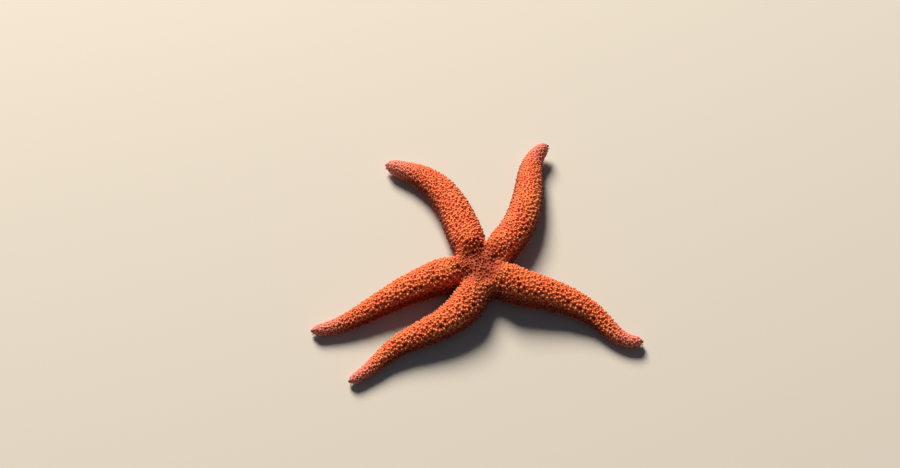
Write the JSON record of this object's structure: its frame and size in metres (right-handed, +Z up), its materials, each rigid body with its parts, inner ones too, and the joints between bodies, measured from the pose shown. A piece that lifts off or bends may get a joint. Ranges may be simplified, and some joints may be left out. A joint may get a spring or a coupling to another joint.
{
  "type": "starfish",
  "caption": "Still, life-size red starfish lying flat, its slender rounded arms bent and tapering from a small disc, with raised tips, open grooves beneath and a low sieve plate.",
  "frame": {"origin": "middle of the outline's box, on the floor that the animal lies on", "axes": "+X along the overall span, towards the hooked arm tip; +Y towards the two arms that reach away from the camera; +Z up, out of the back"},
  "size_m": [0.178, 0.1546, 0.0199],
  "materials": {
    "skin": "moist, finely granular orange-red skin with dark red pits",
    "tip_skin": "moist granular skin, darker and pinker towards the tip",
    "sieve_plate": "matt chalky plate with fine winding furrows",
    "eyespot": "wet crimson pigment cushion",
    "spinelets": "blunt chalky spinelets under thin skin, light orange at the top",
    "papulae": "wet, dark red finger-like gills in the pits",
    "tube_feet": "moist, pale orange, slightly translucent tube feet with suckers"
  },
  "bodies": {
    "root": {"disc": "skin", "arm_1_base": "skin", "arm_1_middle": "skin", "arm_1_tip": "tip_skin", "arm_2_base": "skin", "arm_2_middle": "skin", "arm_2_tip": "tip_skin", "arm_3_base": "skin", "arm_3_middle": "skin", "arm_3_tip": "tip_skin", "arm_4_base": "skin", "arm_4_middle": "skin", "arm_4_tip": "tip_skin", "arm_5_base": "skin", "arm_5_middle": "skin", "arm_5_tip": "tip_skin", "madreporite": "sieve_plate", "eyespot_1": "eyespot", "eyespot_2": "eyespot", "eyespot_3": "eyespot", "eyespot_4": "eyespot", "eyespot_5": "eyespot"}
  },
  "joints": []
}
